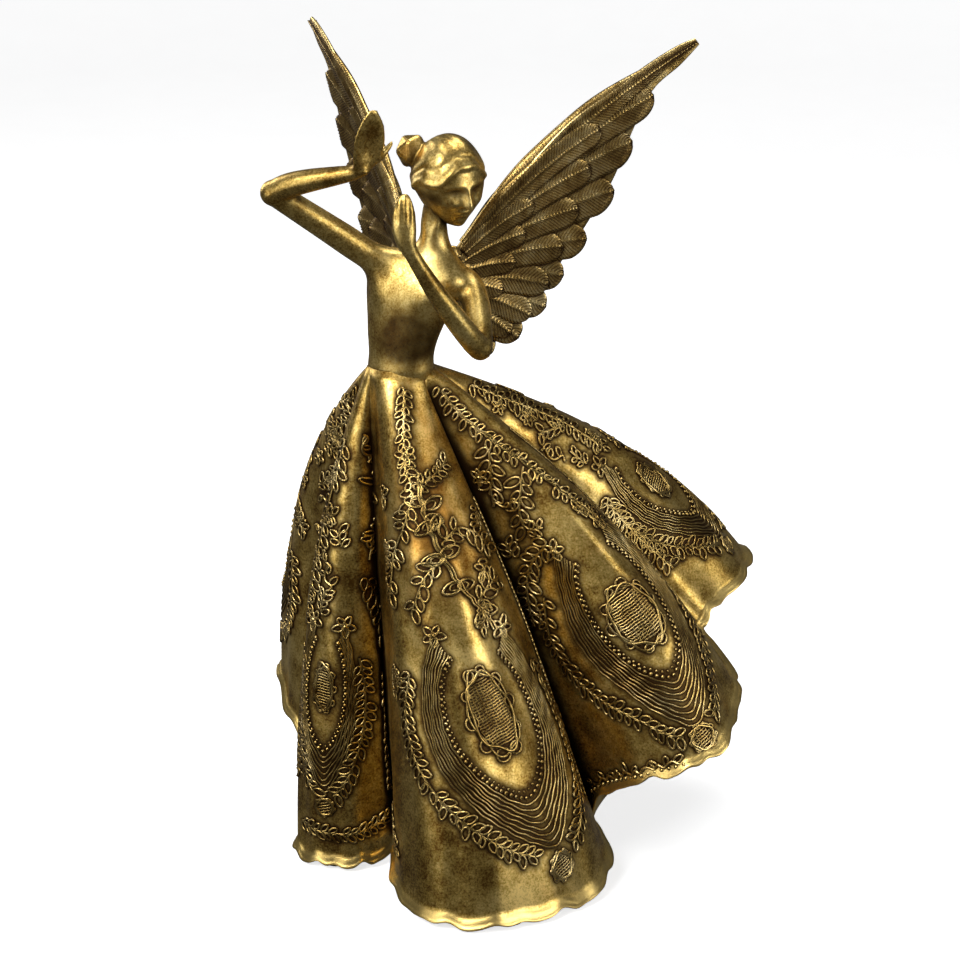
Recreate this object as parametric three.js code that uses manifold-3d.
// Resin angel figurine: a hollow cast skirt carrying a slim torso, head, two arms and two wings.
// Millimetres, +Z up, the skirt's broad front fold faces -Y. Waist axis runs up through x = y = 0;
// the finished group is shifted so the middle of its footprint sits on the origin.
import * as THREE from 'three';
import { LoftGeometry } from 'three/addons/geometries/LoftGeometry.js';
import { mergeVertices } from 'three/addons/utils/BufferGeometryUtils.js';
import Module from 'manifold-3d';

const wasm = await Module();
wasm.setup();

// ---- driving dimensions ----------------------------------------------------------------------
const GAP = 0.3;                 // glue line between neighbouring castings
const WAIST_Z = 186;             // height of the joint between skirt and torso
const WAIST_A = 11.8;            // waist half width
const WAIST_B = 9.5;             // waist half depth
const HEM_WALL = 3.6;            // wall of the hollow skirt
const ROOF_START = 0.4;          // how far down the folds the hollow begins
const YAW = THREE.MathUtils.degToRad(25);                 // chest turned towards -X
const SPINE = new THREE.Vector3(9.4, 10.9, 216);          // point between the shoulder blades
const PAD_R = 4.6, PAD_T = 1.0;  // round felt pads
const FOOT_R = 5.6, FOOT_H = 13; // cast feet inside the hem
const DOWEL_R = 2.5;             // waist dowel
const DOWEL_HALF = 16;           // half its length
const NECK_DOWEL_R = 1.2;
const PIN_R = 1.0;               // arm and wing pins
// wing pins: [level, height above the wing root, reach into the wing]
const WING_PINS = [['upper', 4, 9], ['lower', -6, 11]];
const WING_PIN_INNER = 5.5;      // reach of each wing pin into the torso

// Hem and waist line of every fold: [hem x, hem y, hem z, waist angle, lift at waist, drop at hem]
// (degrees). Listed anticlockwise seen from above, starting on the left fold.
const RIBS = [
  // left fold
  [-37, 0, 11, 176, 12, 6], [-39, -6, 2.4, 184, 12, 8], [-30, -14, 1.8, 191, 12, 10],
  [-18, -16, 1.8, 198, 8, 8], [-8, -11, 3, 204, 2, 4],
  [-1, -2, 9, 208, -6, -3],
  // front fold
  [-3, -26, 8, 213, 2, 4], [1, -49, 4, 224, 10, 9], [15, -63, 1.8, 240, 14, 12],
  [34, -65, 1.8, 258, 14, 12], [52, -56, 1.8, 275, 11, 11], [67, -43, 2.2, 291, 7, 9],
  [74, -26, 8, 304, 2, 4],
  [69, -10, 17, 312, -9, -6],
  // right fold, lifted off the ground
  [74, -22, 33, 319, -4, 0], [87, -38, 45, 327, 4, 10], [101, -44, 52, 334, 10, 16],
  [113, -38, 58, 340, 14, 18], [119, -18, 66, 346, 12, 16], [119, -4, 71, 352, 6, 10],
  [110, 17, 80, 358, -3, -3],
  // far right fold
  [115, 25, 87, 5, 4, 8], [127, 40, 94, 14, 9, 15], [129, 58, 97, 24, 12, 18],
  [119, 76, 93, 34, 9, 15],
  [96, 78, 82, 44, 0, 4],
  // back right fold, coming down to the ground
  [93, 94, 62, 54, 12, 14], [83, 101, 34, 66, 14, 16], [67, 96, 8, 78, 12, 14],
  [50, 86, 1.8, 87, 9, 10],
  [31, 68, 11, 95, -4, 0],
  // back fold
  [26, 83, 3, 103, 8, 8], [11, 89, 1.8, 113, 13, 12], [-4, 77, 3, 123, 10, 10],
  [-9, 60, 18, 132, -4, 0],
  // back left fold, lifted
  [-21, 64, 32, 140, 12, 12], [-38, 58, 48, 149, 22, 20], [-47, 42, 57, 157, 27, 22],
  [-44, 25, 47, 164, 22, 16],
  [-36, 12, 34, 170, 6, 6],
];

// Felt pads and the feet they are glued to: under the left, front and two back folds.
const FEET = { left: [-25, -8.5], front: [38, -56], back_right: [51, 80], back_left: [12, 82] };

const degrees = THREE.MathUtils.degToRad;
const vec = (x, y, z) => new THREE.Vector3(x, y, z);
const LATERAL = vec(Math.cos(YAW), -Math.sin(YAW), 0);   // towards her left side
const BACK = vec(Math.sin(YAW), Math.cos(YAW), 0);
const UP = vec(0, 0, 1);

// ---- solids and booleans ---------------------------------------------------------------------
function solid(geometry) {
  const bare = new THREE.BufferGeometry();
  bare.setAttribute('position', geometry.attributes.position.clone());
  if (geometry.index) bare.setIndex(geometry.index.clone());
  const welded = mergeVertices(bare, 1e-4);
  const triangles = [];
  const index = welded.index.array;
  for (let i = 0; i < index.length; i += 3) {
    const [a, b, c] = [index[i], index[i + 1], index[i + 2]];
    if (a !== b && b !== c && c !== a) triangles.push(a, b, c);
  }
  const make = (corners) => new wasm.Manifold(new wasm.Mesh({
    numProp: 3,
    vertProperties: new Float32Array(welded.attributes.position.array),
    triVerts: new Uint32Array(corners),
  }));
  const body = make(triangles);
  return body.volume() < 0 ? make(triangles.reverse()) : body;   // faces always point outwards
}

function named(shape, name, look) {
  const mesh = shape.getMesh();
  const geometry = new THREE.BufferGeometry();
  geometry.setAttribute('position', new THREE.BufferAttribute(mesh.vertProperties, mesh.numProp));
  geometry.setIndex(new THREE.BufferAttribute(mesh.triVerts, 1));
  geometry.computeVertexNormals();
  const part = new THREE.Mesh(geometry, new THREE.MeshStandardMaterial(look));
  part.name = name;
  return part;
}

// Closed skin over a row of rings; each end is drawn together to the middle of its ring, or the
// last one is closed flat.
function skin(rings, flatEnd = false) {
  const drawnIn = (loop) => {
    const middle = loop.reduce((sum, p) => sum.add(p), vec(0, 0, 0)).divideScalar(loop.length);
    return loop.map(() => middle.clone());
  };
  const all = [drawnIn(rings[0]), ...rings];
  if (!flatEnd) all.push(drawnIn(rings[rings.length - 1]));
  return solid(new LoftGeometry(all, { closed: true, capEnd: flatEnd }));
}

// Round bar between two points.
function bar(from, to, radius, sides = 14) {
  const along = to.clone().sub(from);
  const geometry = new THREE.CylinderGeometry(radius, radius, along.length(), sides);
  const turn = new THREE.Quaternion().setFromUnitVectors(vec(0, 1, 0), along.clone().normalize());
  geometry.applyQuaternion(turn);
  geometry.translate(...from.clone().add(to).multiplyScalar(0.5).toArray());
  return solid(geometry);
}

// Smooth limb through stations [x, y, z, half width, half thickness], flat side set by `wide`.
function limb(stations, wide, sides = 12) {
  const centres = stations.map((s) => vec(s[0], s[1], s[2]));
  const rings = stations.map((s, i) => {
    const before = centres[Math.max(i - 1, 0)];
    const after = centres[Math.min(i + 1, centres.length - 1)];
    const along = after.clone().sub(before).normalize();
    const across = wide.clone().addScaledVector(along, -wide.dot(along)).normalize();
    const other = along.clone().cross(across);
    return Array.from({ length: sides }, (_, k) => {
      const angle = 2 * Math.PI * k / sides;
      return centres[i].clone().addScaledVector(across, s[3] * Math.cos(angle))
        .addScaledVector(other, s[4] * Math.sin(angle));
    });
  });
  return skin(rings);
}

// ---- skirt -----------------------------------------------------------------------------------
// One fold line from waist to hem: a cubic that leaves the waist flatter and meets the hem steeper.
function foldLine(start, hem, lift, drop) {
  const across = Math.hypot(hem.x - start.x, hem.y - start.y);
  const down = start.z - hem.z;
  const slope = Math.atan2(down, across);
  const reach = 0.36 * Math.hypot(across, down);
  const [s1, s2] = [slope - degrees(lift), slope + degrees(drop)];
  const unit = vec((hem.x - start.x) / across, (hem.y - start.y) / across, 0);
  const at = (h, v) => start.clone().addScaledVector(unit, h).addScaledVector(UP, -v);
  return new THREE.CubicBezierCurve3(start.clone(), at(reach * Math.cos(s1), reach * Math.sin(s1)),
    at(across - reach * Math.cos(s2), down - reach * Math.sin(s2)), hem.clone());
}

const pointsAt = (lines, t) => lines.map((line) => line.getPoint(t));

const ring = (points, perFold = 2) =>
  new THREE.CatmullRomCurve3(points, true, 'catmullrom', 0.5).getPoints(points.length * perFold).slice(0, -1);

// Points one wall thickness inside the folds, mitred round the sharp valleys.
function setIn(lines, t) {
  const points = pointsAt(lines, t);
  const count = points.length;
  return points.map((p, i) => {
    const along = lines[i].getTangent(t);
    const before = p.clone().sub(points[(i + count - 1) % count]).cross(along).normalize();
    const after = points[(i + 1) % count].clone().sub(p).cross(along).normalize();
    const middle = before.clone().add(after).normalize();
    return p.clone().addScaledVector(middle, HEM_WALL / Math.max(middle.dot(before), 0.3));
  });
}

function skirtShell() {
  const outer = RIBS.map(([x, y, z, angle, lift, drop]) => foldLine(
    vec(WAIST_A * Math.cos(degrees(angle)), WAIST_B * Math.sin(degrees(angle)), WAIST_Z - GAP / 2),
    vec(x, y, z), lift, drop));
  const rings = [0, 0.06, 0.14, 0.24, 0.35, 0.47, 0.6, 0.74, 0.87, 1].map((t) => ring(pointsAt(outer, t)));
  // the hollow: the same folds set in by the wall, closed above by a roof
  const innerHem = ring(setIn(outer, 1));
  rings.push(rings[rings.length - 1].map((p, k) =>
    p.clone().lerp(innerHem[k], 0.5).addScaledVector(UP, -0.3 * HEM_WALL)));
  for (const t of [1, 0.85, 0.7, 0.55, ROOF_START]) rings.push(ring(setIn(outer, t)));
  let shell = skin(rings, true);
  for (const [x, y] of Object.values(FEET)) {
    const foot = new THREE.CylinderGeometry(0.7 * FOOT_R, FOOT_R, FOOT_H, 24);
    foot.rotateX(Math.PI / 2).translate(x, y, PAD_T + GAP + FOOT_H / 2);
    shell = shell.add(solid(foot));
    shell = shell.subtract(bar(vec(x, y, -5), vec(x, y, PAD_T + GAP), PAD_R + GAP, 24));
  }
  return shell;
}

// ---- torso -----------------------------------------------------------------------------------
// Cross sections from waist to neck: [height, centre x, centre y, half width, half depth]
const TORSO = [
  [WAIST_Z + GAP / 2, 0.1, 0.2, 12.2, 9.4], [190, 0.1, 0.2, 12.1, 9.3], [196, 0.8, 0.3, 13.2, 9.4],
  [203, 2.2, 0.6, 15.4, 9.8], [209, 3.6, 0.8, 17.1, 10.4], [214, 4.6, 0.9, 18.2, 10.6],
  [218, 5.6, 1, 18.2, 10], [221.5, 7, 1.2, 16.4, 8.8], [225, 9.6, 1.3, 12, 7.2],
  [228, 11.3, 1, 7.6, 5.8], [232, 11.9, 0.4, 5.2, 4.9], [237, 11.8, 0, 4.4, 4.4],
  [242, 11.9, -0.3, 4.1, 4.2],
];
const BUST = { z: 213, size: 3.4, spread: 5.5, side: degrees(34), width: degrees(17) };

function torsoForm(grow = 0, sides = 26) {
  return skin(TORSO.map(([z, x, y, a, b], row) => {
    const end = row === 0 ? -grow : row === TORSO.length - 1 ? grow : 0;
    return Array.from({ length: sides }, (_, k) => {
      const angle = 2 * Math.PI * k / sides;
      const fromFront = Math.atan2(Math.cos(angle), -Math.sin(angle));
      const bell = Math.exp(-(((Math.abs(fromFront) - BUST.side) / BUST.width) ** 2));
      const swell = BUST.size * bell * Math.exp(-(((z - BUST.z) / BUST.spread) ** 2));
      return vec(x, y, z + end).addScaledVector(LATERAL, (a + grow + swell * 0.3) * Math.cos(angle))
        .addScaledVector(BACK, (b + grow + swell) * Math.sin(angle));
    });
  }));
}

// ---- head ------------------------------------------------------------------------------------
const HEAD = { centre: vec(16.8, -0.4, 251.6), width: 12.4, depth: 13.8, height: 15.4 };
const FACE_DIR = vec(0.54, -0.8, -0.26).normalize();
const HEAD_LEAN = vec(-0.14, 0.06, 1);
const CROWN_DIR = HEAD_LEAN.clone().addScaledVector(FACE_DIR, -HEAD_LEAN.dot(FACE_DIR)).normalize();
const EAR_DIR = CROWN_DIR.clone().cross(FACE_DIR).normalize();
const bell = (x, centre, width) => Math.exp(-(((x - centre) / width) ** 2));

function headForm() {
  const ball = new THREE.SphereGeometry(1, 26, 18);
  const points = ball.attributes.position;
  for (let i = 0; i < points.count; i += 1) {
    const [side, front, up] = [points.getX(i), points.getZ(i), points.getY(i)];
    const face = Math.max(front, 0);
    const jaw = 1 - 0.3 * Math.max(-up - 0.1, 0) * (0.4 + 0.6 * Math.abs(side));
    const nose = 0.15 * bell(side, 0, 0.13) * bell(up, -0.14, 0.2) * face;
    const eyes = 0.08 * bell(Math.abs(side), 0.36, 0.17) * bell(up, 0.08, 0.13) * face;
    const cap = 0.04 * (1 / (1 + Math.exp(-(up - 0.28 + 0.5 * (1 - front) * 0.5) / 0.03)));
    const chin = 0.08 * bell(side, 0, 0.22) * bell(up, -0.82, 0.2) * face;
    const radius = 1 + nose - eyes + cap + chin;
    const p = HEAD.centre.clone().addScaledVector(EAR_DIR, side * HEAD.width * jaw * radius)
      .addScaledVector(FACE_DIR, front * HEAD.depth * radius * (front < 0 ? 0.95 : 0.9))
      .addScaledVector(CROWN_DIR, up * HEAD.height * radius);
    points.setXYZ(i, p.x, p.y, p.z);
  }
  return solid(ball);
}

function bunForm() {
  const bun = new THREE.IcosahedronGeometry(6.2, 1);
  bun.scale(0.95, 0.8, 1.1).rotateY(-0.5).translate(4.4, 1.5, 260.8);
  return solid(bun);
}

// ---- arms ------------------------------------------------------------------------------------
function rightArm() {
  const upper = limb([[4, 2, 214.5, 5.6, 5.2], [-3, 2, 219, 5.9, 5.6], [-11, 1.2, 225.4, 5.3, 5],
    [-22, -1, 233.4, 4.8, 4.6], [-34, -4, 241.6, 4.5, 4.4], [-42, -6, 247.2, 4.4, 4.2],
    [-45.2, -7, 249.6, 3, 3]], vec(0, 1, 0));
  const fore = limb([[-46.6, -7, 247.6, 2, 2], [-44, -7.6, 249.2, 4, 4], [-38, -9.4, 251.6, 4.2, 4],
    [-30, -12.4, 253.8, 4, 3.8], [-21, -16, 255.6, 3.3, 3.1], [-14.6, -18.6, 257.2, 2.8, 2.6],
    [-10.6, -20.6, 259, 3.2, 2.6]], vec(0, 1, 0));
  const palm = limb([[-13.4, -19.4, 256.4, 2.2, 2], [-11, -20.8, 260, 4.6, 2.6],
    [-9.2, -22.2, 265, 5.8, 2.2], [-8.2, -23.6, 270, 5.6, 1.9], [-7.6, -24.6, 275, 4.2, 1.6],
    [-7.2, -25.2, 279.6, 1.2, 0.9]], vec(0.86, 0.4, 0.1));
  const thumb = limb([[-10, -19.6, 259.6, 2, 2], [-7, -18.4, 261.6, 2, 1.8], [-4, -17, 264.4, 1.6, 1.4],
    [-1.6, -15.8, 267.4, 0.7, 0.7]], vec(0, 1, 0));
  return upper.add(fore).add(palm).add(thumb);
}

function leftArm() {
  const upper = limb([[14, 2, 217.4, 4, 4], [19, -1, 217.8, 5.2, 5], [24, -4, 215.4, 5.2, 5],
    [26.6, -9, 210, 4.9, 4.8], [28, -15.4, 203.4, 4.6, 4.5], [28.6, -20.6, 197.8, 4.4, 4.3],
    [28.6, -22.8, 195, 3, 3]], vec(1, 0, 0));
  const fore = limb([[30.4, -21.6, 193.8, 1.8, 1.8], [28.2, -23, 197, 4.1, 4.1], [24, -26.2, 203, 4.3, 4.1],
    [18, -29.8, 211.6, 4, 3.8], [12, -33.4, 221, 3.4, 3.2], [6.6, -36.6, 230.6, 2.8, 2.6],
    [4, -38, 235.6, 2.8, 2.4]], vec(1, 0, 0));
  const palm = limb([[5.2, -37.6, 233, 2.2, 2], [3.4, -38.4, 237.6, 3.6, 2.6], [2.8, -38.6, 242.4, 4.4, 2.2],
    [2.8, -38.4, 247.6, 4, 1.9], [3, -38, 251.6, 3, 1.5], [3.4, -37.6, 254.4, 1, 0.8]], vec(1, 0.1, 0));
  return upper.add(fore).add(palm);
}

// ---- wings -----------------------------------------------------------------------------------
// Outline in the wing's own plane [out from root, height above root]; trailing edge is scalloped
// by the feather tips. Both edges run from the root to the tip.
const WING_ROOT = { side: 5, behind: 0.5 };
const WING_SWEEP = degrees(39);
const WING_THICK = 3.4, WING_CAMBER = 9;
const LEADING = [
  [3, 1], [7, 9], [15.5, 20], [29.5, 34.5], [46.5, 51.5], [62.5, 62.2], [74.5, 70.5], [85, 76.6], [91, 78.8],
];
const TRAILING = [
  [3, -14], [9, -27], [17, -30.5], [27.5, -25], [29, -21], [38, -14.5], [38.6, -11], [44.6, -4],
  [44.8, 1.6], [51.4, 7.6], [53, 14], [62.4, 24.6], [62.6, 31], [68.6, 42], [68, 47], [75.4, 58],
  [76, 62.5], [86, 69.5], [93, 77],
];

function wing(side) {
  const out = LATERAL.clone().multiplyScalar(side * Math.cos(WING_SWEEP))
    .addScaledVector(BACK, Math.sin(WING_SWEEP));
  const behind = UP.clone().cross(out).multiplyScalar(side);
  const root = SPINE.clone().addScaledVector(LATERAL, side * WING_ROOT.side)
    .addScaledVector(BACK, WING_ROOT.behind);
  const edge = (points) =>
    new THREE.CatmullRomCurve3(points.map(([h, z]) => vec(h, 0, z)), false, 'catmullrom', 0.4);
  const [front, rear] = [edge(LEADING), edge(TRAILING)];
  const stations = 34, chords = 4;
  const rings = Array.from({ length: stations + 1 }, (_, s) => {
    const [a, b] = [front.getPoint(s / stations), rear.getPoint(s / stations)];
    const length = a.distanceTo(b);
    const place = (c, face) => {
      const p = a.clone().lerp(b, c);
      const camber = WING_CAMBER * Math.min(length / 52, 1) ** 1.6 * Math.sin(0.86 * Math.PI * c) ** 0.8;
      const thick = WING_THICK * Math.min(length / 20 + 0.25, 1) * (1 - 0.6 * c) * 0.5;
      return root.clone().addScaledVector(out, p.x).addScaledVector(UP, p.z)
        .addScaledVector(behind, camber + face * thick);
    };
    const loop = [];
    for (let c = 0; c <= chords; c += 1) loop.push(place(c / chords, 1));
    for (let c = chords; c >= 0; c -= 1) loop.push(place(c / chords, -1));
    return loop;
  });
  return { shape: skin(rings), root, out };
}

// ---- assembly --------------------------------------------------------------------------------
const gold = (color, roughness = 0.42) => ({ color, roughness, metalness: 0.85 });
const steel = { color: 0x9a9da0, roughness: 0.35, metalness: 0.9 };
const felt = { color: 0x2e2a26, roughness: 0.95, metalness: 0 };
const group = new THREE.Group();
group.name = 'angel_figurine';
const add = (shape, name, look) => group.add(named(shape, name, look));

const waist = [vec(0, 0, WAIST_Z - DOWEL_HALF), vec(0, 0, WAIST_Z + DOWEL_HALF)];
const neck = [vec(11.8, 0.1, 229), vec(12.6, -0.3, 249)];
const rightShoulder = [vec(5.5, 2.5, 212.6), vec(-27, -2.2, 236.8)];
const leftShoulder = [vec(9, 2.6, 217), vec(25.4, -5.6, 213.4)];
const lengthen = ([from, to], extra) => {
  const step = to.clone().sub(from).normalize().multiplyScalar(extra);
  return [from.clone().sub(step), to.clone().add(step)];
};
const hole = (line, radius) => bar(...lengthen(line, GAP), radius + GAP);

const clearTorso = torsoForm(GAP);
const wings = { left: wing(1), right: wing(-1) };
const wingPins = {};
for (const [name, { root, out }] of Object.entries(wings)) {
  for (const [level, height, reach] of WING_PINS) {
    const middle = root.clone().addScaledVector(UP, height);
    wingPins[`${name}_wing_pin_${level}`] = [middle.clone().addScaledVector(out, -WING_PIN_INNER),
      middle.clone().addScaledVector(out, reach)];
  }
}

let torso = torsoForm().subtract(hole(waist, DOWEL_R)).subtract(hole(neck, NECK_DOWEL_R))
  .subtract(hole(rightShoulder, PIN_R)).subtract(hole(leftShoulder, PIN_R));
for (const line of Object.values(wingPins)) torso = torso.subtract(hole(line, PIN_R));

add(skirtShell().subtract(hole(waist, DOWEL_R)), 'skirt_shell', gold(0x8f7434, 0.45));
add(torso, 'torso', gold(0xa98f4a, 0.38));
const head = headForm().add(bunForm()).subtract(clearTorso).subtract(hole(neck, NECK_DOWEL_R));
add(head, 'head', gold(0xa48a46, 0.4));
add(rightArm().subtract(clearTorso).subtract(hole(rightShoulder, PIN_R)), 'right_arm', gold(0xa98f4a, 0.38));
add(leftArm().subtract(clearTorso).subtract(hole(leftShoulder, PIN_R)), 'left_arm', gold(0xa98f4a, 0.38));
for (const [name, { shape }] of Object.entries(wings)) {
  let casting = shape.subtract(clearTorso);
  for (const [level] of WING_PINS) {
    casting = casting.subtract(hole(wingPins[`${name}_wing_pin_${level}`], PIN_R));
  }
  add(casting, `${name}_wing`, gold(0x7c6330, 0.5));
}
add(bar(...waist, DOWEL_R), 'waist_dowel', steel);
add(bar(...neck, NECK_DOWEL_R), 'neck_dowel', steel);
add(bar(...rightShoulder, PIN_R), 'right_arm_pin', steel);
add(bar(...leftShoulder, PIN_R), 'left_arm_pin', steel);
for (const [name, line] of Object.entries(wingPins)) add(bar(...line, PIN_R), name, steel);
for (const [name, [x, y]] of Object.entries(FEET)) {
  add(bar(vec(x, y, 0), vec(x, y, PAD_T), PAD_R, 28), `felt_pad_${name}`, felt);
}

// stand the figurine on z = 0 with the middle of its footprint on the origin
group.updateMatrixWorld(true);
const bounds = new THREE.Box3().setFromObject(group);
const centre = bounds.getCenter(vec(0, 0, 0));
for (const part of group.children) part.geometry.translate(-centre.x, -centre.y, -bounds.min.z);

export default group;
